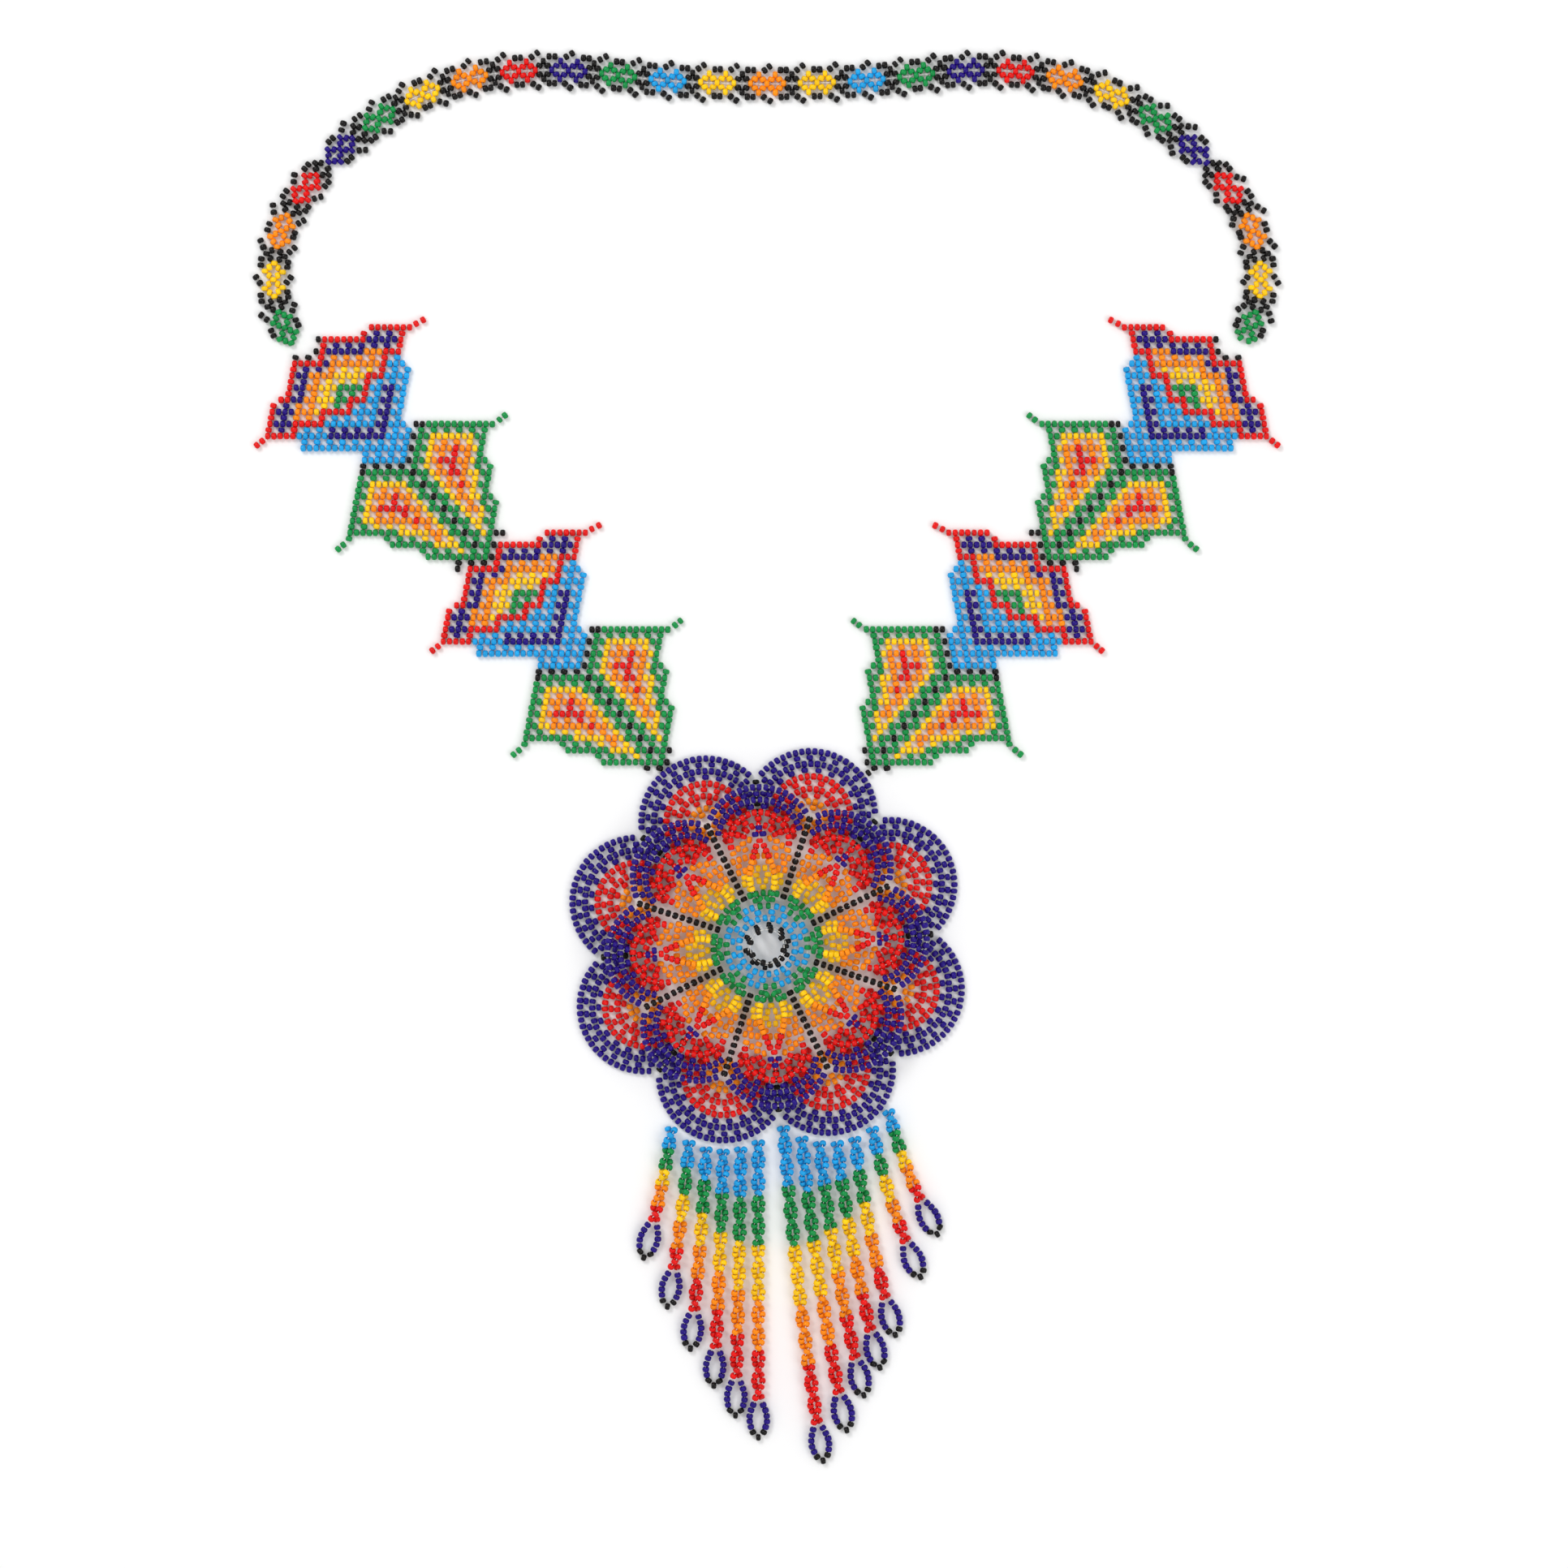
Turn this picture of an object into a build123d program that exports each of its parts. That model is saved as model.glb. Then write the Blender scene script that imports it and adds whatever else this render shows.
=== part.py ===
from build123d import *
import os
from math import atan2, ceil, cos, degrees, floor, hypot, pi, radians, sin, sqrt

os.makedirs("parts", exist_ok=True)

# ---------------------------------------------------------------- the bead
BEAD_D = 2.0            # outer diameter of a seed bead
BEAD_L = 1.42           # length of a seed bead along its hole
HOLE_D = 0.84           # hole through a seed bead
BEAD_FLAT = 0.45        # share of the bead's length that is at full diameter
THREAD_D = 0.22         # nylon thread
NET_GAP = 0.14          # play between a bead of a row and the bead that joins two rows

MESH = (BEAD_D + BEAD_L) / 2 + NET_GAP      # step of the netting
REST = BEAD_D / 2                           # height of a bead that lies on the table

# ---------------------------------------------------------------- the side chains (in mesh steps)
NET_STEP = 1.015        # bead to bead along a row
ROW_STEP = 0.965        # row to row
ROW_SLIP = 0.19         # sideways slip of each row towards the strap side
FOOT_ROOM = 1.77        # from the carrying petal's rim to the corner of the lower leaf pair
FOOT_LEAN = 53.4        # direction from the petal's middle to that corner, degrees
LAST_ROW = 22           # number of the last row of every motif
HINGE_ROWS = 6          # the row of a tulip that carries the piece above it
LEAF_HINGE_ROW = 8      # the row of a leaf pair that carries the tulip above it
UPPER_LEAF, LOWER_TULIP, LOWER_LEAF = 10, 28, 44    # diagonal place of each motif in the chain

# ---------------------------------------------------------------- the strap (in mesh steps)
CELL_ROOM = 1.56 + 0.7 * BEAD_L     # least length of one cell of the strap
CELL_TOP = 1.43         # edge bead of a cell, from the centre line
CELL_SIDE = (0.645, 0.70)   # slanting bead of a cell: along, across
CELL_LEAN = 68          # slant of that bead, degrees
STRAP_HINGE_CELL = 12   # cells between the lower end of the strap and its pivot
HINGE_PLAY = 0.5        # room left at a pivot inside the strap, mm

# ---------------------------------------------------------------- the medallion (in mesh steps)
PETALS = 8
FLOWER_TURN = 4.0       # turn of the medallion about its middle, degrees
OUTER_TIP = 32.2        # tip of an outer petal
OUTER_NOTCH = 26.2      # notch between two outer petals
OUTER_FROM = 18.0       # the outer flower's net starts here, under the inner flower
INNER_TIP = 25.4
INNER_NOTCH = 21.3
INNER_DISC = 15.7       # the rings of the inner flower end here and the petals begin
SEAM_ROOM = 1.14        # room kept clear on each side of a line of black seam beads
SEAM_FROM = 7.7         # the inner flower's black seams start here
SEAM_STEP = 1.18        # black bead to black bead along a seam
INNER_LIFT = 1.72       # height of the inner flower's middle over the outer flower's net
PETAL_CUP = 2.1         # rise of an inner petal from its middle to its rim
EYE_RINGS = ((2.7, 3.79), (3.0, 2.82), (3.35, 1.85))  # black tube: radius in mesh steps, height in beads
EYE_BEADS = (8, 9, 10)                               # and beads round each ring
STAMEN_BEADS = 11       # beads in each leg of a stamen
STAMEN_SPAN = 10.95 * BEAD_L / MESH     # how far a leg reaches out, in mesh steps

# ---------------------------------------------------------------- the fringe (in mesh steps)
TWIST_R = 0.6 * BEAD_D / MESH   # each column of a strand, from the strand's axis
HALF_TWIST = 3.5        # length of half a twist
PAIR_STEP = (0.8 * BEAD_L + 0.246 * BEAD_D) / MESH     # bead to bead along a strand
LOOP_BEADS = 5          # navy beads on each side of the loop at the end
LOOP_WIDE = 0.75        # how far each side of the loop bulges past the column
TOP_ROOM = 1.15         # from the rim's row of beads to a strand's pivot
FRINGE_TOPS = (-15.2, -12.4, -9.7, -7.0, -4.2, -1.4, 2.6, 5.5, 8.3, 11.1, 13.9, 16.7, 19.3)
# each strand's end from its top: sideways, down
FRINGE_DROPS = ((-4.9, 22.5), (-3.8, 28.2), (-2.7, 33.9), (-1.6, 39.5), (-0.9, 44.6),
                (0.0, 49.2), (6.6, 55.2), (7.5, 48.6), (7.5, 42.3), (7.3, 37.8),
                (7.0, 33.3), (8.4, 25.5), (8.6, 21.4))

# ---------------------------------------------------------------- bead charts
# One letter per bead (R N O Y G T K: red navy orange yellow green turquoise black), a dot where
# there is none. Even lines are full rows, odd lines are the beads that join two rows.
TULIP = """
.............RRRRRRR...
............R.N.N.R....
......RRRRRRRNNNNNR....
......R.N.N.N.N.N.R....
......RNNNNNNOOORRR....
......R.O.O.O.O.R.T....
..RRRRRNOOOOOOOORTTT...
..R.N.N.O.Y.Y.Y.R.T.T..
..RNNOOOOYYYYYRRRTTTT..
..R.N.O.Y.Y.Y.R.T.T.T..
..RNNOOYYYGGGGRTTNNTT..
..R.N.O.Y.G.G.R.T.N.T..
.RRNNOOYYYGGRRRTTNNTT..
R.N.O.O.Y.G.R.T.T.N.T..
RNNNOOOYRRRRRTTTTNNTT..
R.N.O.O.R.T.T.T.T.N.T..
RNNNRRRRRTTTTTTTTNNTTT.
R.N.R.T.T.N.N.N.N.N.T.T
RRRRRTTTTTNNNNNNNNNTTTT
......T.T.T.T.T.T.T.T.T
......TTTTTTTTTTTTTTTTT
................T.T.T.T
................TTTTTTT
""".split()
LEAF = """
.........GGGGGGGGGGG...
........G.G.G.G.G.G....
........GGYYYYYYYGG....
........G.Y.O.O.Y.G....
........GGYOOOROOYG....
........G.Y.O.R.O.G....
........GGYORRROOYGG...
........G.Y.O.R.O.G.G..
........KGGYOORROYYGG..
..........G.Y.O.O.Y.G..
..........KGGYOOROYGG..
............G.Y.O.Y.G..
............KGGYOOYYGG.
..............G.Y.O.G.G
..............KGGYOOYGG
................G.Y.Y.G
................KGGYYGG
..................G.Y.G
..................KGGYG
....................G.G
....................KGG
......................G
......................G
""".split()
TULIP_TIPS = ((19.9, -0.6), (20.9, -1.2), (-0.7, 18.8), (-1.4, 19.5))
LEAF_TIPS = ((20.0, -0.7), (20.7, -1.4), (-0.7, 20.0), (-1.4, 20.7))
# black beads that join a piece to the one below it, in the upper piece's own chart
TULIP_TO_LEAF = ((16, 23), (18, 23), (20, 23), (22, 23), (23, 16), (23, 18), (23, 20), (23, 22),
                 (24, 16), (16, 24))
LEAF_TO_TULIP = ((23, 22), (23, 20), (23, 18), (24, 18), (22, 23), (20, 23), (18, 23), (18, 24))
LEAF_TO_PETAL = ((22, 23), (23, 22), (23, 20), (20, 23))
STRAP_TO_TULIP = ((2, 5), (4, 5), (5, 4), (5, 2))

# the strap's centre line from the middle of the neck down to one end: share of the half width,
# share of the rise
STRAP_RISE = 43.5       # from the strap's lower end to its highest part, in mesh steps
STRAP_END = (4.6, 3.25) # the strap's lower end, from the upper tulip's sixth row, in mesh steps
STRAP_LINE = ((0.0, 0.952), (0.197, 0.963), (0.403, 1.0), (0.507, 1.0), (0.607, 0.979),
              (0.708, 0.926), (0.799, 0.844), (0.879, 0.740), (0.947, 0.616), (1.005, 0.480),
              (1.033, 0.324), (1.034, 0.161), (1.0, 0.0))


def make_bead():
    half, flat = BEAD_L / 2, BEAD_L * BEAD_FLAT / 2
    profile = Wire.make_polygon([(HOLE_D / 2, 0, -half), (BEAD_D / 2, 0, -flat),
                                 (BEAD_D / 2, 0, flat), (HOLE_D / 2, 0, half)], close=True)
    return Solid.revolve(Face(profile), 360, Axis.Z)


BEAD = make_bead()
THREAD = Face(Wire.make_circle(THREAD_D / 2))
SPAN = [[0.0, 0.0], [0.0, 0.0]]     # least and greatest x and y of all the beads


def bead(x, y, z, ax, ay, az=0.0):
    """A bead with its middle at x, y, z and its hole along ax, ay, az."""
    size = sqrt(ax * ax + ay * ay + az * az)
    for span, middle, part in ((SPAN[0], x, abs(ax) / size), (SPAN[1], y, abs(ay) / size)):
        reach = max(BEAD_L / 2 * part + HOLE_D / 2 * sqrt(1 - part * part),
                    BEAD_L * BEAD_FLAT / 2 * part + BEAD_D / 2 * sqrt(1 - part * part))
        span[0] = min(span[0], middle - reach)
        span[1] = max(span[1], middle + reach)
    return BEAD.moved(Location(Plane(origin=(x, y, z), z_dir=(ax, ay, az))))


def thread(p, q, trim=0.0):
    """A straight length of thread from p to q, shortened by trim at each end."""
    d = Vector(*q) - Vector(*p)
    length = d.length - 2 * trim
    start = Vector(*p) + d.normalized() * trim
    line = Solid.extrude(THREAD, Vector(0, 0, length))
    return line.moved(Location(Plane(origin=start, z_dir=d)))


def arc_thread(cx, cy, z, radius, start, sweep):
    """A length of thread bent round a vertical axis, angles in radians."""
    cut = Face(Wire.make_circle(THREAD_D / 2, Plane(origin=(radius, 0, 0), z_dir=(0, 1, 0))))
    bend = Solid.revolve(cut, degrees(sweep), Axis.Z)
    return bend.moved(Location((cx, cy, z), (0, 0, degrees(start))))


def petal_arc(tip, notch):
    """Middle and radius of the round outline through a petal's tip and its two notches."""
    half = pi / PETALS
    sag, chord = tip - notch * cos(half), notch * sin(half)
    radius = (sag ** 2 + chord ** 2) / (2 * sag)
    return tip - radius, radius


# ---------------------------------------------------------------- side chains
def chain_place():
    """Half width and height of the upper tulips' sixth row, built up from the carrying petal."""
    middle, radius = petal_arc(OUTER_TIP, OUTER_NOTCH)
    a, lean = radians(FLOWER_TURN) + pi / 2 + pi / PETALS, radians(FOOT_LEAN)
    foot_x = -middle * cos(a) + (radius + FOOT_ROOM) * cos(lean)
    foot_y = middle * sin(a) + (radius + FOOT_ROOM) * sin(lean)
    rows = LOWER_LEAF + LAST_ROW
    return foot_x + rows * (NET_STEP - ROW_SLIP), foot_y + rows * ROW_STEP


CHAIN_OUT, CHAIN_TOP = chain_place()


def net_point(side, a, b):
    x = (CHAIN_OUT - NET_STEP * a + ROW_SLIP * b) * MESH
    return side * x, (CHAIN_TOP - ROW_STEP * b) * MESH


def net_axis(side, a, b):
    """Row beads lie along their row, joining beads stand across it."""
    if b % 2 == 0:
        return 1.0, 0.0
    return side * ROW_SLIP, -ROW_STEP


def chart_cells(chart, two_halves):
    cells = []
    for j, line in enumerate(chart):
        for i, letter in enumerate(line):
            if letter == ".":
                continue
            cells.append((i, j))
            if two_halves and i > j:
                cells.append((j, i))
    return sorted(cells, key=lambda c: (c[1], c[0]))


def net_bead(side, a, b, ax, ay):
    x, y = net_point(side, a, b)
    return bead(x, y, REST, ax, ay)


def motif(side, chart, two_halves, place):
    return [net_bead(side, i + place, j + place, *net_axis(side, i, j))
            for i, j in chart_cells(chart, two_halves)]


def row_threads(side, chart, two_halves, place):
    """One straight thread through every run of beads in every full row."""
    cells = set(chart_cells(chart, two_halves))
    threads = []
    for j in range(0, len(chart), 2):
        run = []
        for i in range(len(chart) + 2):
            if (i, j) in cells:
                run.append(i)
                continue
            if len(run) > 1:
                p = net_point(side, run[0] + place, j + place)
                q = net_point(side, run[-1] + place, j + place)
                threads.append(thread((*p, REST), (*q, REST), trim=-BEAD_L * 0.4))
            run = []
    return threads


def tip_beads(side, tips, place):
    """Two beads strung past each corner of a motif, hanging in line."""
    out = []
    for first, last in (tips[:2], tips[2:]):
        x0, y0 = net_point(side, first[0] + place, first[1] + place)
        x1, y1 = net_point(side, last[0] + place, last[1] + place)
        out += [bead(x0, y0, REST, x1 - x0, y1 - y0), bead(x1, y1, REST, x1 - x0, y1 - y0)]
    return out


def joining_beads(side, spots, place):
    return [net_bead(side, i + place, j + place, *net_axis(side, i, j)) for i, j in spots]


# ---------------------------------------------------------------- strap
def smooth(points, count):
    """Points along a smooth line through the given ones."""
    out = []
    for k in range(len(points) - 1):
        p0 = points[max(k - 1, 0)]
        p1, p2 = points[k], points[k + 1]
        p3 = points[min(k + 2, len(points) - 1)]
        for n in range(count):
            t = n / count
            w = (-t + 2 * t ** 2 - t ** 3, 2 - 5 * t ** 2 + 3 * t ** 3,
                 t + 4 * t ** 2 - 3 * t ** 3, t ** 3 - t ** 2)
            out.append(tuple(sum(c * p[i] for c, p in zip(w, (p0, p1, p2, p3))) / 2 for i in (0, 1)))
    return out + [points[-1]]


def along(line, distance):
    """Point and direction at a distance along a line of points."""
    left = distance
    for (x0, y0), (x1, y1) in zip(line, line[1:]):
        step = hypot(x1 - x0, y1 - y0)
        if left <= step or (x1, y1) == line[-1]:
            f = left / step
            return x0 + f * (x1 - x0), y0 + f * (y1 - y0), (x1 - x0) / step, (y1 - y0) / step
        left -= step


def line_length(line):
    return sum(hypot(x1 - x0, y1 - y0) for (x0, y0), (x1, y1) in zip(line, line[1:]))


# Coloured lozenges of two cells each with one black cell between them, one lozenge in the middle,
# as many as the strap has room for.
HALF_STRAP = smooth([(x * (CHAIN_OUT + STRAP_END[0]) * MESH,
                      (CHAIN_TOP + STRAP_END[1] + y * STRAP_RISE) * MESH) for x, y in STRAP_LINE], 12)
STRAP_LENGTH = 2 * line_length(HALF_STRAP) - 2 * HINGE_PLAY
LOZENGES = 2 * int((STRAP_LENGTH / (CELL_ROOM * MESH) + 1) // 6 - 1) + 1
while 3 * (LOZENGES + 2) - 1 <= STRAP_LENGTH / (CELL_ROOM * MESH):
    LOZENGES += 2
CELLS = 3 * LOZENGES - 1
CELL = STRAP_LENGTH / CELLS / MESH


def strap_frame(distance):
    """Point, direction along and direction across, measured from the middle of the neck."""
    x, y, tx, ty = along(HALF_STRAP, abs(distance))
    if distance < 0:
        return -x, y, tx, -ty, ty, tx
    return x, y, tx, ty, -ty, tx


def strap_bead(distance, across, lean=0.0):
    x, y, tx, ty, nx, ny = strap_frame(distance)
    c, s = cos(lean), sin(lean)
    return bead(x + across * nx, y + across * ny, REST, c * tx + s * nx, c * ty + s * ny)


def cell_middle(k):
    """Distance of cell k from the middle of the neck, the end segments moved out by the play."""
    middle = (k - (CELLS - 1) / 2) * CELL * MESH
    if k < STRAP_HINGE_CELL:
        return middle - HINGE_PLAY
    if k >= CELLS - STRAP_HINGE_CELL:
        return middle + HINGE_PLAY
    return middle


def strap_cells(first, last):
    """Beads of the cells first..last-1: lozenge beads, edge pairs and the shared middle beads."""
    beads = []
    side, top = (v * MESH for v in CELL_SIDE), CELL_TOP * MESH
    u, v = side
    for k in range(first, last):
        m = cell_middle(k)
        if k == first:
            beads.append(strap_bead(m - CELL * MESH / 2, 0))
        for sa in (-1, 1):
            beads.append(strap_bead(m, sa * top))
            for st in (-1, 1):
                beads.append(strap_bead(m + st * u, sa * v, radians(-st * sa * CELL_LEAN)))
        if k < last - 1:
            beads.append(strap_bead(m + CELL * MESH / 2, 0))
            beads += edge_pairs(k, m + CELL * MESH / 2, top)
    return beads


def edge_pairs(k, boundary, top):
    """Two black beads on each edge between two cells, leaning out on every other one."""
    near, far, rise, lift = 0.6 * BEAD_L, 0.573 * BEAD_L, 0.72 * MESH, 0.62 * MESH
    pairs = []
    for sa in (-1, 1):
        if k % 2:
            pairs.append(strap_bead(boundary - near, sa * (top + rise), sa * atan2(lift, near + far)))
            pairs.append(strap_bead(boundary + far, sa * (top + rise + lift),
                                    sa * atan2(lift, near + far)))
        else:
            pairs.append(strap_bead(boundary - near, sa * (top + rise)))
            pairs.append(strap_bead(boundary + near, sa * (top + rise)))
    return pairs


def strap_threads(first, last):
    """The thread down the middle of the strap, one length for each shared bead."""
    half = CELL * MESH / 2 - THREAD_D / 2
    marks = [cell_middle(first) - CELL * MESH / 2]
    marks += [cell_middle(k) + CELL * MESH / 2 for k in range(first, last - 1)]
    out = []
    for m in marks:
        x, y, tx, ty, nx, ny = strap_frame(m)
        out.append(thread((x - half * tx, y - half * ty, REST), (x + half * tx, y + half * ty, REST)))
    return out


# ---------------------------------------------------------------- medallion
def clear_of_seam(x, y, room):
    half = pi / PETALS
    return x * sin(half) - abs(y) * cos(half) > room


def spread(total, step):
    """Even places along a length that is at least zero."""
    n = max(int(total // step), 0)
    if n == 0:
        return [total / 2]
    return [k * total / n for k in range(n + 1)]


def petal_rows(tip, notch, start):
    """Rows parallel to a petal's rim: radius about the petal's middle and half its opening."""
    middle, radius = petal_arc(tip, notch)
    rows = []
    n = 0
    while radius - n > 0.8:
        rho, reach = radius - n, 0.0
        while reach < pi - 0.6 / rho:
            x, y = middle + rho * cos(reach), rho * sin(reach)
            if not clear_of_seam(x, y, SEAM_ROOM) or hypot(x, y) < start:
                break
            reach += 0.01
        if reach > 0:
            rows.append((n, rho, reach))
        n += 1
    return middle, radius, rows


def petal(azimuth, tip, notch, start, base, cup):
    """Beads and row threads of one petal: full rows and joining rows by turns."""
    middle, radius, rows = petal_rows(tip, notch, start)
    ca, sa = cos(azimuth), sin(azimuth)
    beads, threads = [], []
    for n, rho, reach in rows:
        z = REST + (base + cup * (rho / radius) ** 2) * MESH
        full = n % 2 == 0
        step = (NET_STEP if full else 2 * NET_STEP) / rho
        inset = 0.0 if full else (0.5 + (n // 2) % 2) * step / 2
        slope = 2 * cup * rho / radius ** 2
        for place in spread(2 * (reach - inset), step):
            phi = place - (reach - inset)
            px, py = middle + rho * cos(phi), rho * sin(phi)
            x, y = (px * ca - py * sa) * MESH, (px * sa + py * ca) * MESH
            if full:
                beads.append(bead(x, y, z, -sin(azimuth + phi), cos(azimuth + phi)))
            else:
                beads.append(bead(x, y, z, cos(azimuth + phi), sin(azimuth + phi), slope))
        if full and reach * rho > 1.5:
            threads.append(arc_thread(middle * ca * MESH, middle * sa * MESH, z, rho * MESH,
                                      azimuth - reach, 2 * reach))
    return beads, threads


def inner_rings(azimuth):
    """The inner flower's net between two seams, from the eye out to where the petals begin."""
    beads, threads = [], []
    z = REST + INNER_LIFT * MESH
    r, n = EYE_RINGS[-1][0] + 1.036 * BEAD_D / MESH, 0
    while r < INNER_DISC - 0.5:
        full = n % 2 == 0
        half = pi / PETALS - SEAM_ROOM / r if r > 6.5 else pi / PETALS - 0.55 / r
        reach = half if full else half - 0.5 / r
        for place in spread(2 * reach, (1.0 if full else 1.9) / r):
            a = azimuth + place - reach
            x, y = r * cos(a) * MESH, r * sin(a) * MESH
            beads.append(bead(x, y, z, -sin(a), cos(a)) if full else bead(x, y, z, cos(a), sin(a)))
        if full:
            threads.append(arc_thread(0, 0, z, r * MESH, azimuth - half, 2 * half))
        r += 1
        n += 1
    return beads, threads


def seam(azimuth, inner_r, outer_r, height):
    """Black beads down a seam; height gives the middle of a bead at each distance."""
    beads = []
    count = int((outer_r - inner_r) / SEAM_STEP)
    for k in range(count + 1):
        r = outer_r - k * SEAM_STEP
        rise = height(r + 0.1) - height(r - 0.1)
        x, y = r * cos(azimuth) * MESH, r * sin(azimuth) * MESH
        beads.append(bead(x, y, height(r) * MESH, 0.2 * cos(azimuth), 0.2 * sin(azimuth), rise))
    return beads


def inner_height(r):
    """Height of the inner flower along a seam, in mesh steps."""
    middle, radius = petal_arc(INNER_TIP, INNER_NOTCH)
    away = hypot(r * cos(pi / PETALS) - middle, r * sin(pi / PETALS))
    blend = min(max((r - INNER_DISC + 3) / 3, 0), 1)
    return REST / MESH + INNER_LIFT + PETAL_CUP * (away / radius) ** 2 * blend


def eye():
    """The black beaded tube round the hole in the middle."""
    beads, threads = [], []
    for (radius, height), count in zip(EYE_RINGS, EYE_BEADS):
        for k in range(count):
            a = 2 * pi * (k + radius) / count
            beads.append(bead(radius * cos(a) * MESH, radius * sin(a) * MESH, height * BEAD_D,
                              -sin(a), cos(a)))
            threads.append(arc_thread(0, 0, height * BEAD_D, radius * MESH, a - pi / count + 0.05,
                                      2 * pi / count - 0.1))
    return beads, threads


def stamen(azimuth):
    """Two bowed legs of beads that meet over a petal, with a head of three beads."""
    beads = []
    ca, sa = cos(azimuth), sin(azimuth)

    def leg_point(t, side):
        r = 7.6 + STAMEN_SPAN * t
        wide = 0.62 + 1.55 * sin(pi * t ** 0.8) * (1 - 0.25 * t)
        rise = REST / MESH + INNER_LIFT + 1.25 + 1.5 * sin(pi * (0.12 + 0.75 * t))
        return r, side * wide, rise

    def put(r, w, h, r2, w2, h2):
        x, y = (r * ca - w * sa) * MESH, (r * sa + w * ca) * MESH
        dr, dw, dh = r2 - r, w2 - w, h2 - h
        beads.append(bead(x, y, h * MESH, dr * ca - dw * sa, dr * sa + dw * ca, dh))

    for side in (-1, 1):
        for k in range(STAMEN_BEADS):
            t = k / (STAMEN_BEADS - 1)
            put(*leg_point(t, side), *leg_point(t + 0.02, side))
    r, w, h = leg_point(1.0, 0)
    put(r + 0.85, 0, h, r + 1.8, 0, h)
    for dr, w in ((1.9, -0.62), (1.9, 0.62), (2.95, 0)):
        put(r + dr, w, h, r + dr + 1, w, h)
    return beads


# ---------------------------------------------------------------- fringe
def fringe_top(k):
    """A strand's pivot, just under the rim of the petal above it."""
    middle, radius = petal_arc(OUTER_TIP, OUTER_NOTCH)
    x = FRINGE_TOPS[k]
    low = []
    for n in (-1, 0):
        a = radians(FLOWER_TURN) - pi / 2 + (2 * n + 1) * pi / PETALS
        cx, cy = middle * cos(a), middle * sin(a)
        reach = radius + TOP_ROOM
        if abs(x - cx) < reach:
            low.append(cy - sqrt(reach ** 2 - (x - cx) ** 2))
    return x, min(low)


def strand_line(k):
    x0, y0 = fringe_top(k)
    x1, y1 = x0 + FRINGE_DROPS[k][0], y0 - FRINGE_DROPS[k][1]
    xc, yc = x0 + 0.3 * (x1 - x0), (y0 + y1) / 2
    line = []
    for n in range(41):
        t = n / 40
        line.append((((1 - t) ** 2 * x0 + 2 * t * (1 - t) * xc + t * t * x1) * MESH,
                     ((1 - t) ** 2 * y0 + 2 * t * (1 - t) * yc + t * t * y1) * MESH))
    return line


def strand(k):
    """Twisted pair of bead columns, a loop, and three black beads at its end."""
    line = strand_line(k)
    r, pair = TWIST_R * MESH, PAIR_STEP * MESH
    loop = (LOOP_BEADS + 1) * pair
    twisted = line_length(line) - loop - 2 * pair
    pairs = int(twisted // pair)
    half = twisted / max(round(twisted / (HALF_TWIST * MESH)), 1)

    def column(s, sign):
        x, y, tx, ty = along(line, s)
        if s < twisted:
            phase = pi * s / half
            out, up = r * cos(phase), r * sin(phase)
            z = REST + r * min(1, 3.2 * s / half)
        else:
            u = (s - twisted) / loop
            out = (r + LOOP_WIDE * MESH * sin(pi * min(u, 1))) * (1 if round(twisted / half) % 2 == 0 else -1)
            up, z = 0.0, REST + r * max(1 - u, 0)
        return Vector(x - sign * out * ty, y + sign * out * tx, z + sign * up)

    beads = []
    first = pair * 0.75
    for n in range(pairs):
        s = first + n * (twisted - first) / pairs
        for sign in (1, -1):
            p, q = column(s, sign), column(s + 0.05, sign)
            d = q - p
            beads.append(bead(p.X, p.Y, p.Z, d.X, d.Y, d.Z))
    for n in range(LOOP_BEADS):
        s = twisted + (n + 0.35) * pair * 1.02
        for sign in (1, -1):
            p, q = column(s, sign), column(s + 0.05, sign)
            d = q - p
            beads.append(bead(p.X, p.Y, p.Z, d.X, d.Y, d.Z))
    ends = []
    for sign in (1, -1):
        s = twisted + (LOOP_BEADS + 0.45) * pair
        p = column(s, sign)
        x, y, tx, ty = along(line, s)
        ends.append(bead(p.X, p.Y, REST, tx + sign * 0.6 * ty, ty - sign * 0.6 * tx))
    x, y, tx, ty = along(line, twisted + (LOOP_BEADS + 1.35) * pair)
    ends.append(bead(x, y, REST, -ty, tx))
    pieces = 2 * ceil(twisted / (8 * MESH))
    for n in range(pieces):
        s0, s1 = (0.35 * half + (twisted - 0.35 * half) * m / pieces for m in (n, n + 1))
        xa, ya, _, _ = along(line, s0)
        xb, yb, _, _ = along(line, s1)
        ends.append(thread((xa, ya, REST + r), (xb, yb, REST + r), trim=THREAD_D / 4))
    return beads, ends


# ---------------------------------------------------------------- the whole necklace
NODES = {}


def add_motifs():
    plan = (("upper_tulip", TULIP, False, -HINGE_ROWS, TULIP_TIPS, TULIP_TO_LEAF),
            ("upper_leaf", LEAF, True, UPPER_LEAF, LEAF_TIPS, LEAF_TO_TULIP),
            ("lower_tulip", TULIP, False, LOWER_TULIP, TULIP_TIPS, TULIP_TO_LEAF),
            ("lower_leaf", LEAF, True, LOWER_LEAF, LEAF_TIPS, ()))
    for hand, side in (("left", -1), ("right", 1)):
        for name, chart, halves, place, tips, joins in plan:
            NODES[f"{hand}_{name}_beads"] = motif(side, chart, halves, place)
            NODES[f"{hand}_{name}_binding"] = (row_threads(side, chart, halves, place)
                                               + tip_beads(side, tips, place)
                                               + joining_beads(side, joins, place))


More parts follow.
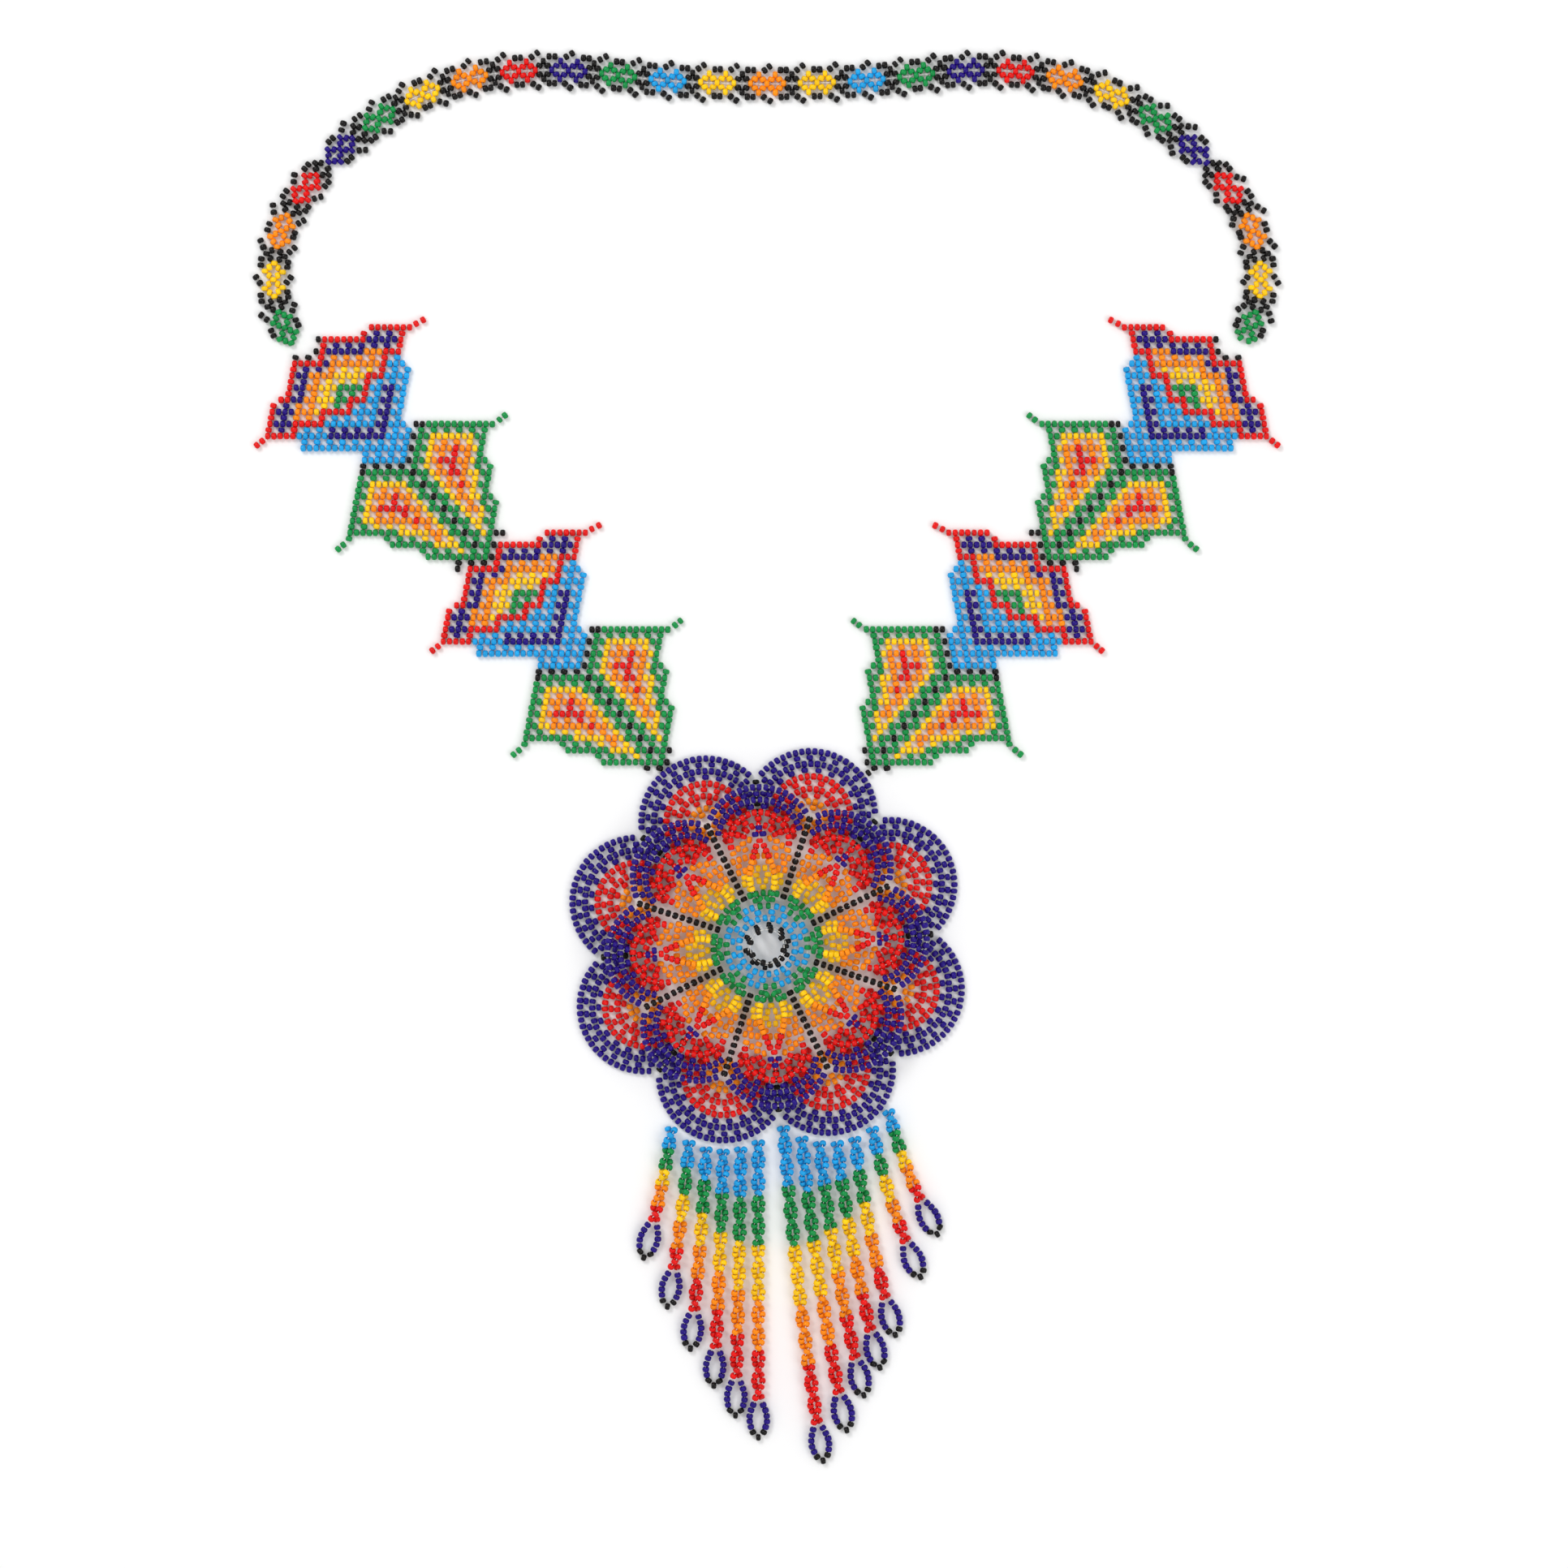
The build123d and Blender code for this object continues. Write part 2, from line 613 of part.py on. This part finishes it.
def add_strap():
    spans = (("strap_left", 0, STRAP_HINGE_CELL),
             ("strap_top", STRAP_HINGE_CELL, CELLS - STRAP_HINGE_CELL),
             ("strap_right", CELLS - STRAP_HINGE_CELL, CELLS))
    for name, first, last in spans:
        NODES[f"{name}_beads"] = strap_cells(first, last)
        NODES[f"{name}_binding"] = strap_threads(first, last)
    NODES["strap_left_binding"] += joining_beads(-1, STRAP_TO_TULIP, -HINGE_ROWS)
    NODES["strap_right_binding"] += joining_beads(1, STRAP_TO_TULIP, -HINGE_ROWS)


def petal_bridge(side):
    """Black beads between a lower leaf pair and the petal that carries it."""
    middle, radius = petal_arc(OUTER_TIP, OUTER_NOTCH)
    a = radians(FLOWER_TURN) + pi / 2 - side * pi / PETALS
    cx, cy = middle * cos(a) * MESH, middle * sin(a) * MESH
    out = joining_beads(side, LEAF_TO_PETAL, LOWER_LEAF)
    for i, j in LEAF_TO_PETAL[:2]:
        x, y = net_point(side, i + LOWER_LEAF, j + LOWER_LEAF)
        far = hypot(x - cx, y - cy)
        room = far - radius * MESH
        steps = floor(room / (1.05 * MESH)) - 1
        for n in range(steps):
            f = (radius * MESH + room * (n + 1) / (steps + 1)) / far
            out.append(bead(cx + f * (x - cx), cy + f * (y - cy), REST, x - cx, y - cy))
    return out


def add_medallion():
    turn = radians(FLOWER_TURN)
    outer, outer_threads, inner, inner_threads = [], [], [], []
    stamens, seams = [], []
    for k in range(PETALS):
        a = turn + 2 * pi * k / PETALS
        b = a + pi / PETALS
        beads, threads = petal(b, OUTER_TIP, OUTER_NOTCH, OUTER_FROM, 0.0, 0.0)
        outer += beads
        outer_threads += threads
        for beads, threads in (inner_rings(a),
                               petal(a, INNER_TIP, INNER_NOTCH, INNER_DISC, INNER_LIFT, PETAL_CUP)):
            inner += beads
            inner_threads += threads
        stamens += stamen(a)
        seams += seam(b, SEAM_FROM, INNER_NOTCH, inner_height)
        seams += seam(a, OUTER_FROM + 1, OUTER_NOTCH, lambda r: REST / MESH)
        outer_threads.append(thread((OUTER_FROM * MESH * cos(a), OUTER_FROM * MESH * sin(a), REST),
                                    (OUTER_NOTCH * MESH * cos(a), OUTER_NOTCH * MESH * sin(a), REST)))
    ring, ring_threads = eye()
    NODES["outer_flower_beads"] = outer
    NODES["outer_flower_threads"] = outer_threads
    NODES["inner_flower_beads"] = inner
    NODES["inner_flower_threads"] = inner_threads + ring_threads
    NODES["eye_beads"] = ring
    NODES["stamen_beads"] = stamens
    NODES["seam_beads"] = seams + petal_bridge(-1) + petal_bridge(1)


def add_fringe():
    for k in range(len(FRINGE_TOPS)):
        beads, ends = strand(k)
        NODES[f"fringe_{k + 1:02d}_beads"] = beads
        NODES[f"fringe_{k + 1:02d}_end"] = ends


def write():
    """Centre the part over its origin, with the table at zero, and save each node."""
    middle = Location((-sum(SPAN[0]) / 2, -sum(SPAN[1]) / 2, 0))
    for name, pieces in NODES.items():
        shifted = [p.moved(middle) for p in pieces]
        whole = Compound(children=shifted)
        whole.label = name
        export_step(whole, f"parts/{name}.step")


add_motifs()
add_strap()
add_medallion()
add_fringe()
write()
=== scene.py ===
import math

import bpy
import numpy as np
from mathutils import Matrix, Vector


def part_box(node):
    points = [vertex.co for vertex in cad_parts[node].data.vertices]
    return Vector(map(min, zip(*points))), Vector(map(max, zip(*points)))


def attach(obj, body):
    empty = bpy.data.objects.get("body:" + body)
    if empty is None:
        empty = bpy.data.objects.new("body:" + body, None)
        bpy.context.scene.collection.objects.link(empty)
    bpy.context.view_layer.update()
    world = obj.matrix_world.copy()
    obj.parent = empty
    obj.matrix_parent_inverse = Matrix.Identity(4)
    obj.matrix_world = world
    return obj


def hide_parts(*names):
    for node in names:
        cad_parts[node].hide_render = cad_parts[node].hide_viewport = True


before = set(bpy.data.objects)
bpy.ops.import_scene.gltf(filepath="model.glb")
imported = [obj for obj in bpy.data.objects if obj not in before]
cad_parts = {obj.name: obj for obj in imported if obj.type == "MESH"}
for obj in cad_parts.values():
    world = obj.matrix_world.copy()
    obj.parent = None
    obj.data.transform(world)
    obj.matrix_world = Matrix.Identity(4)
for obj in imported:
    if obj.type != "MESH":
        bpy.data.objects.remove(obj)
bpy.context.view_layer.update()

rng = np.random.default_rng(7)
scene = bpy.context.scene
mm = 0.001

# ------------------------------------------------------------------ camera, straight above the table
cam_data = bpy.data.cameras.new("camera")
cam = bpy.data.objects.new("camera", cam_data)
scene.collection.objects.link(cam)
cam_data.lens = 100
cam_data.sensor_width = 36
VIEW_WIDTH = 463.7 * mm
cam.location = (5.0 * mm, -8.0 * mm, VIEW_WIDTH * cam_data.lens / cam_data.sensor_width)
scene.camera = cam

# ------------------------------------------------------------------ colours of the glass
COLOURS = {
    "R": (0.78, 0.004, 0.003),
    "N": (0.014, 0.001, 0.20),
    "O": (0.98, 0.27, 0.002),
    "Y": (1.00, 0.60, 0.004),
    "G": (0.004, 0.28, 0.06),
    "T": (0.010, 0.36, 0.78),
    "K": (0.004, 0.003, 0.003),
}

TULIP = """
.............RRRRRRR...
............R.N.N.R....
......RRRRRRRNNNNNR....
......R.N.N.N.N.N.R....
......RNNNNNNOOORRR....
......R.O.O.O.O.R.T....
..RRRRRNOOOOOOOORTTT...
..R.N.N.O.Y.Y.Y.R.T.T..
..RNNOOOOYYYYYRRRTTTT..
..R.N.O.Y.Y.Y.R.T.T.T..
..RNNOOYYYGGGGRTTNNTT..
..R.N.O.Y.G.G.R.T.N.T..
.RRNNOOYYYGGRRRTTNNTT..
R.N.O.O.Y.G.R.T.T.N.T..
RNNNOOOYRRRRRTTTTNNTT..
R.N.O.O.R.T.T.T.T.N.T..
RNNNRRRRRTTTTTTTTNNTTT.
R.N.R.T.T.N.N.N.N.N.T.T
RRRRRTTTTTNNNNNNNNNTTTT
......T.T.T.T.T.T.T.T.T
......TTTTTTTTTTTTTTTTT
................T.T.T.T
................TTTTTTT
""".split()
LEAF = """
.........GGGGGGGGGGG...
........G.G.G.G.G.G....
........GGYYYYYYYGG....
........G.Y.O.O.Y.G....
........GGYOOOROOYG....
........G.Y.O.R.O.G....
........GGYORRROOYGG...
........G.Y.O.R.O.G.G..
........KGGYOORROYYGG..
..........G.Y.O.O.Y.G..
..........KGGYOOROYGG..
............G.Y.O.Y.G..
............KGGYOOYYGG.
..............G.Y.O.G.G
..............KGGYOOYGG
................G.Y.Y.G
................KGGYYGG
..................G.Y.G
..................KGGYG
....................G.G
....................KGG
......................G
......................G
""".split()


def chart_letters(chart, two_halves):
    """Letters of a motif's beads, row by row."""
    cells = {}
    for j, line in enumerate(chart):
        for i, letter in enumerate(line):
            if letter != ".":
                cells[(j, i)] = letter
                if two_halves and i > j:
                    cells[(i, j)] = letter
    return [cells[c] for c in sorted(cells)]


# ------------------------------------------------------------------ materials
def bead_material():
    m = bpy.data.materials.new("bead_glass")
    m.use_nodes = True
    nt = m.node_tree
    nt.nodes.clear()
    out = nt.nodes.new("ShaderNodeOutputMaterial")
    b = nt.nodes.new("ShaderNodeBsdfPrincipled")
    nt.links.new(b.outputs[0], out.inputs[0])
    col = nt.nodes.new("ShaderNodeAttribute")
    col.attribute_name = "glass"
    noise = nt.nodes.new("ShaderNodeTexNoise")
    noise.inputs["Scale"].default_value = 900
    noise.inputs["Detail"].default_value = 3
    coord = nt.nodes.new("ShaderNodeTexCoord")
    nt.links.new(coord.outputs["Object"], noise.inputs["Vector"])
    ramp = nt.nodes.new("ShaderNodeMapRange")
    ramp.inputs["From Min"].default_value = 0.3
    ramp.inputs["From Max"].default_value = 0.7
    ramp.inputs["To Min"].default_value = 0.88
    ramp.inputs["To Max"].default_value = 1.06
    nt.links.new(noise.outputs["Fac"], ramp.inputs["Value"])
    mul = nt.nodes.new("ShaderNodeVectorMath")
    mul.operation = "SCALE"
    nt.links.new(col.outputs["Color"], mul.inputs[0])
    nt.links.new(ramp.outputs["Result"], mul.inputs["Scale"])
    nt.links.new(mul.outputs["Vector"], b.inputs["Base Color"])
    rough = nt.nodes.new("ShaderNodeMapRange")
    rough.inputs["To Min"].default_value = 0.2
    rough.inputs["To Max"].default_value = 0.34
    nt.links.new(noise.outputs["Fac"], rough.inputs["Value"])
    nt.links.new(rough.outputs["Result"], b.inputs["Roughness"])
    b.inputs["IOR"].default_value = 1.5
    b.inputs["Specular IOR Level"].default_value = 0.22
    return m


def thread_material():
    m = bpy.data.materials.new("nylon")
    m.use_nodes = True
    nt = m.node_tree
    b = nt.nodes["Principled BSDF"]
    noise = nt.nodes.new("ShaderNodeTexNoise")
    noise.inputs["Scale"].default_value = 2500
    mix = nt.nodes.new("ShaderNodeMix")
    mix.data_type = "RGBA"
    mix.inputs["A"].default_value = (0.72, 0.71, 0.68, 1)
    mix.inputs["B"].default_value = (0.9, 0.89, 0.86, 1)
    nt.links.new(noise.outputs["Fac"], mix.inputs["Factor"])
    nt.links.new(mix.outputs["Result"], b.inputs["Base Color"])
    b.inputs["Roughness"].default_value = 0.35
    return m


GLASS = bead_material()
NYLON = thread_material()

# ------------------------------------------------------------------ reading the beads of the frame
HOLE_EDGE = 0.94 * mm       # points nearer to a bead's middle than this are on the edge of its hole
POINTS_ONE, POINTS_OTHER = 440, 432     # corner points per bead: each node has one of these two


def bead_places(co, count):
    """Middle and hole direction of each bead, from its corner points (all beads are alike)."""
    per = co.reshape(count, -1, 3)
    mid = per.mean(axis=1)
    off = per - mid[:, None, :]
    dist = np.linalg.norm(off, axis=2)
    places = []
    for k in range(count):
        inner = off[k][dist[k] < HOLE_EDGE]
        w, v = np.linalg.eigh(inner.T @ inner)
        places.append((mid[k], v[:, 2]))
    return places


def node_points(name):
    """Corner points of a node, in metres."""
    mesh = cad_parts[name].data
    co = np.zeros(len(mesh.vertices) * 3)
    mesh.vertices.foreach_get("co", co)
    return co.reshape(-1, 3)


# ------------------------------------------------------------------ one bead, rounded, in mm
R_BEAD = 1.03           # outer radius
H_BEAD = 0.75           # half of its length
R_HOLE = 0.40
LIP = 0.1               # width of the rounded edge beside the hole
AROUND = 16             # points round the bead
SECTION_POINTS = 7      # points over its outside
ROUNDNESS = 0.62        # under 1 is fuller than a circle


def bead_template():
    """Rounded glass ring: points along the section, from the hole's edge over the outside and back."""
    section = []
    for t in np.linspace(-1, 1, SECTION_POINTS):
        a = t * math.pi / 2
        r = R_HOLE + LIP + (R_BEAD - R_HOLE - LIP) * math.cos(a) ** ROUNDNESS
        section.append((r, H_BEAD * math.sin(a)))
    section.append((R_HOLE, H_BEAD * 0.72))
    section.append((R_HOLE, -H_BEAD * 0.72))
    verts, faces = [], []
    n = len(section)
    for i in range(AROUND):
        a = 2 * math.pi * i / AROUND
        for r, h in section:
            verts.append((r * math.cos(a), r * math.sin(a), h))
    for i in range(AROUND):
        for j in range(n):
            faces.append((i * n + j, ((i + 1) % AROUND) * n + j,
                          ((i + 1) % AROUND) * n + (j + 1) % n, i * n + (j + 1) % n))
    return np.array(verts) * mm, np.array(faces)


BEAD_V, BEAD_F = bead_template()
TUBE_N = 6              # sides of the nylon thread
R_TUBE = 0.11
TUBE_REACH = 1.12       # how far the thread runs each way from a bead's middle
TUBE_TURNS = [2 * math.pi * k / TUBE_N for k in range(TUBE_N)]
TUBE_V = np.array([(R_TUBE * math.cos(a), R_TUBE * math.sin(a), z)
                   for z in (-TUBE_REACH, TUBE_REACH) for a in TUBE_TURNS]) * mm
TUBE_F = np.array([(k, (k + 1) % TUBE_N, TUBE_N + (k + 1) % TUBE_N, TUBE_N + k) for k in range(TUBE_N)])


def turn_to(axis):
    """Turn that takes +Z to this direction."""
    axis = axis / np.linalg.norm(axis)
    side = np.cross(axis, (0, 0, 1.0))
    if np.linalg.norm(side) < 1e-6:
        side = np.array((1.0, 0, 0))
    side /= np.linalg.norm(side)
    return np.stack([side, np.cross(axis, side), axis], axis=1)


SIZE_SPREAD, LENGTH_SPREAD, TILT_SPREAD, SHIFT_SPREAD, TONE_SPREAD = 0.018, 0.035, 0.035, 0.025, 0.05
NYLON_TONE = (0.8, 0.79, 0.76, 1.0)


def quad_mesh(name, verts, faces, tones, mats):
    """Smooth mesh of four-sided faces with a glass colour and a material number for each face."""
    mesh = bpy.data.meshes.new(name)
    mesh.vertices.add(len(verts))
    mesh.vertices.foreach_set("co", verts.ravel())
    mesh.loops.add(len(faces) * 4)
    mesh.loops.foreach_set("vertex_index", faces.ravel())
    mesh.polygons.add(len(faces))
    mesh.polygons.foreach_set("loop_start", np.arange(len(faces)) * 4)
    mesh.materials.append(GLASS)
    mesh.materials.append(NYLON)
    mesh.update(calc_edges=True)
    mesh.polygons.foreach_set("material_index", mats)
    mesh.polygons.foreach_set("use_smooth", np.ones(len(faces), bool))
    glass = mesh.attributes.new("glass", "FLOAT_COLOR", "CORNER")
    glass.data.foreach_set("color", np.repeat(tones, 4, axis=0).ravel())
    mesh.update()
    return mesh


def uneven_bead(mid, axis):
    """Points of one bead, a little uneven in size, length, tilt and place, and never under the table."""
    size = 1 + rng.normal(0, SIZE_SPREAD)
    length = 1 + rng.normal(0, LENGTH_SPREAD)
    turn = turn_to(axis + rng.normal(0, TILT_SPREAD, 3)) * size
    points = (BEAD_V * (1, 1, length)) @ turn.T + mid + rng.normal(0, SHIFT_SPREAD, 3) * mm * (1, 1, 0)
    points[:, 2] -= min(points[:, 2].min(), 0)
    return points


def beads_object(name, places, letters, body, nodes):
    """One visual piece: the rounded beads at these places, in their colours, and thread between them."""
    verts, faces, tones, mats = [], [], [], []
    base = 0
    for (mid, axis), letter in zip(places, letters):
        verts.append(uneven_bead(mid, axis))
        faces.append(BEAD_F + base)
        base += len(BEAD_V)
        tone = np.array(COLOURS[letter]) * (1 + rng.normal(0, TONE_SPREAD))
        tones.append(np.tile(np.append(tone, 1.0), (len(BEAD_F), 1)))
        mats.append(np.zeros(len(BEAD_F), np.int32))
    for mid, axis in places[:len(letters)]:
        verts.append(TUBE_V @ turn_to(axis).T + mid)
        faces.append(TUBE_F + base)
        base += len(TUBE_V)
        tones.append(np.tile(NYLON_TONE, (len(TUBE_F), 1)))
        mats.append(np.ones(len(TUBE_F), np.int32))
    mesh = quad_mesh(name, *(np.concatenate(part) for part in (verts, faces, tones, mats)))
    obj = bpy.data.objects.new(name, mesh)
    scene.collection.objects.link(obj)
    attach(obj, body)
    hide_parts(*nodes)


def points_each(node):
    """Corner points per bead in a node that holds only beads."""
    return POINTS_ONE if len(node_points(node)) % POINTS_ONE == 0 else POINTS_OTHER


def count_of(node):
    return len(node_points(node)) // points_each(node)


def all_beads(node, count):
    """Places of the beads in a node that holds only beads."""
    return bead_places(node_points(node), count)


# ------------------------------------------------------------------ side chains
BEAD_POINTS = points_each("left_upper_tulip_beads")
for hand in ("left", "right"):
    for name, chart, halves in (("upper_tulip", TULIP, False), ("upper_leaf", LEAF, True),
                                ("lower_tulip", TULIP, False), ("lower_leaf", LEAF, True)):
        letters = chart_letters(chart, halves)
        body = f"{hand}_{name}"
        node = f"{body}_beads"
        places = all_beads(node, len(letters))
        beads_object(f"{body}_net", places, letters, body, [node])
        joins = {"upper_tulip": 10, "upper_leaf": 8, "lower_tulip": 10, "lower_leaf": 0}[name]
        tip = "R" if chart is TULIP else "G"
        extra = 4 + joins
        places = bead_places(node_points(f"{body}_binding")[-extra * BEAD_POINTS:], extra)
        beads_object(f"{body}_joins", places, tip * 4 + "K" * joins, body, [f"{body}_binding"])

# ------------------------------------------------------------------ strap
HALF_ORDER = "GYORNGYORNGTY"
ORDER = HALF_ORDER + "O" + HALF_ORDER[::-1]
CELLS = 80
HINGE_CELL = 12
BAND_BEADS = 280        # about so many beads in one visual piece


def strap_letters(first, last):
    """Letters of the strap's beads: two coloured cells and a black one by turns, black pairs along it."""
    out = [ORDER[first // 3]]
    for k in range(first, last):
        out += ["K" if k % 3 == 2 else ORDER[k // 3]] * 6
        if k < last - 1:
            out.append(ORDER[(k + 1) // 3])
            out += ["K"] * 4
    return out


for name, first, last in (("strap_left", 0, HINGE_CELL), ("strap_top", HINGE_CELL, CELLS - HINGE_CELL),
                          ("strap_right", CELLS - HINGE_CELL, CELLS)):
    letters = strap_letters(first, last)
    places = all_beads(f"{name}_beads", len(letters))
    parts = max(1, round(len(letters) / BAND_BEADS))
    cut = [round(len(letters) * k / parts) for k in range(parts + 1)]
    for k in range(parts):
        a, b = cut[k], cut[k + 1]
        beads_object(f"{name}_band_{k + 1}" if parts > 1 else f"{name}_band", places[a:b],
                     letters[a:b], name, [f"{name}_beads"])
    if name == "strap_top":
        continue
    places = bead_places(node_points(f"{name}_binding")[-4 * BEAD_POINTS:], 4)
    beads_object(f"{name}_joins", places, "KKKK", name, [f"{name}_binding"])

# ------------------------------------------------------------------ medallion
MESH = 1.85             # mm from one bead to the next; radii below are in these steps
TURN = math.radians(4.0)
EYE = Vector((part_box("eye_beads")[0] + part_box("eye_beads")[1])) / 2
PETALS = 8
OUTER_TIP, OUTER_NOTCH = 32.2, 26.2
INNER_TIP, INNER_NOTCH = 25.4, 21.3
NAVY_RIM, RED_RIM = 3.5, 7.4            # depth from the rim of an outer petal
STAR, STAR_POINTS = 6.2, 0.9            # turquoise star at the eye
GREEN, GREEN_SLANT = 9.4, 1.2
YELLOW, ORANGE, RED = 0.5, 0.71, 0.865  # shares of the way from the eye to the rim of an inner petal


def petal_arc(tip, notch):
    """Middle and radius of the arc through a petal's tip and its two notches."""
    half = math.pi / PETALS
    sag, chord = tip - notch * math.cos(half), notch * math.sin(half)
    radius = (sag ** 2 + chord ** 2) / (2 * sag)
    return tip - radius, radius


def polar(mid, first):
    """Distance from the eye, number of the petal, and angle off the petal's middle."""
    x, y = mid[0] / mm - EYE.x / mm, mid[1] / mm - EYE.y / mm
    a = math.atan2(y, x) - first
    k = round(a / (2 * math.pi / PETALS))
    return math.hypot(x, y) / MESH, k % PETALS, a - k * 2 * math.pi / PETALS


def outer_letter(mid):
    r, k, a = polar(mid, TURN + math.pi / PETALS)
    middle, radius = petal_arc(OUTER_TIP, OUTER_NOTCH)
    depth = radius - math.hypot(r * math.cos(a) - middle, r * math.sin(a))
    if depth < NAVY_RIM:
        return "N", k
    if depth < RED_RIM:
        return "R", k
    return "O", k


def inner_letter(mid):
    r, k, a = polar(mid, TURN)
    middle, radius = petal_arc(INNER_TIP, INNER_NOTCH)
    rim = middle * math.cos(a) + math.sqrt(max(radius ** 2 - (middle * math.sin(a)) ** 2, 0))
    share = r / rim
    star = STAR + STAR_POINTS * math.cos(PETALS * a + math.pi)
    if r < star:
        return "T", k
    if r < GREEN - GREEN_SLANT * abs(a) / (math.pi / PETALS):
        return "G", k
    if share < YELLOW:
        return "Y", k
    if share < ORANGE:
        return "O", k
    if share < RED:
        return "R", k
    return "N", k


def flower(node, count, letter_of, name):
    """The beads of a flower, one visual piece for each petal."""
    places = all_beads(node, count)
    groups = {}
    for place in places:
        letter, k = letter_of(place[0])
        groups.setdefault(k, []).append((place, letter))
    for k in sorted(groups):
        beads_object(f"{name}_{k + 1}", [g[0] for g in groups[k]], [g[1] for g in groups[k]],
                     "medallion", [node])


flower("outer_flower_beads", count_of("outer_flower_beads"), outer_letter, "outer_petal")
flower("inner_flower_beads", count_of("inner_flower_beads"), inner_letter, "inner_petal")
n = count_of("eye_beads")
beads_object("eye_tube", all_beads("eye_beads", n), "K" * n, "medallion", ["eye_beads"])
n = count_of("seam_beads")
beads_object("black_seams", all_beads("seam_beads", n), "K" * n, "medallion", ["seam_beads"])
LEG = "GGYYYOOORRR"
beads_object("stamens", all_beads("stamen_beads", 26 * PETALS), (LEG + LEG + "RNNN") * PETALS,
             "medallion", ["stamen_beads"])

# ------------------------------------------------------------------ fringe
for k in range(1, 14):
    node = f"fringe_{k:02d}_beads"
    n = count_of(node)
    pairs = n // 2 - 5
    letters = "".join("TGYOR"[min(int(5 * i / pairs), 4)] * 2 for i in range(pairs)) + "N" * 10
    places = all_beads(node, n)
    ends = bead_places(node_points(f"fringe_{k:02d}_end")[:3 * points_each(node)], 3)
    beads_object(f"fringe_{k:02d}_strand", places + ends, letters + "KKK", f"fringe_{k:02d}",
                 [node, f"fringe_{k:02d}_end"])

# ------------------------------------------------------------------ row threads kept from the frame
for name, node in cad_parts.items():
    if name in ("strap_top_binding", "outer_flower_threads", "inner_flower_threads"):
        node.data.materials.clear()
        node.data.materials.append(NYLON)

# ------------------------------------------------------------------ table and light
bpy.ops.mesh.primitive_plane_add(size=6, location=(0, 0, -0.05 * mm))
floor = bpy.context.object
floor.name = "table"
paper = bpy.data.materials.new("paper")
paper.use_nodes = True
pb = paper.node_tree.nodes["Principled BSDF"]
pn = paper.node_tree.nodes.new("ShaderNodeTexNoise")
pn.inputs["Scale"].default_value = 40
pm = paper.node_tree.nodes.new("ShaderNodeMix")
pm.data_type = "RGBA"
pm.inputs["A"].default_value = (0.93, 0.93, 0.93, 1)
pm.inputs["B"].default_value = (0.95, 0.95, 0.95, 1)
paper.node_tree.links.new(pn.outputs["Fac"], pm.inputs["Factor"])
paper.node_tree.links.new(pm.outputs["Result"], pb.inputs["Base Color"])
pb.inputs["Roughness"].default_value = 0.9
pb.inputs["Specular IOR Level"].default_value = 0.1
floor.data.materials.append(paper)

world = bpy.data.worlds.new("studio")
scene.world = world
world.use_nodes = True
world.node_tree.nodes["Background"].inputs["Color"].default_value = (1, 1, 1, 1)
world.node_tree.nodes["Background"].inputs["Strength"].default_value = 0.75


def area(name, place, size, power):
    data = bpy.data.lights.new(name, "AREA")
    data.size = size
    data.energy = power
    light = bpy.data.objects.new(name, data)
    scene.collection.objects.link(light)
    light.location = place
    light.rotation_mode = "QUATERNION"
    light.rotation_quaternion = (-Vector(place)).to_track_quat("-Z", "Y")


area("key", (-0.7, 0.9, 1.3), 0.5, 9)
area("fill", (0.9, -0.4, 1.2), 0.9, 5)
scene.view_settings.view_transform = "Standard"
scene.view_settings.look = "None"
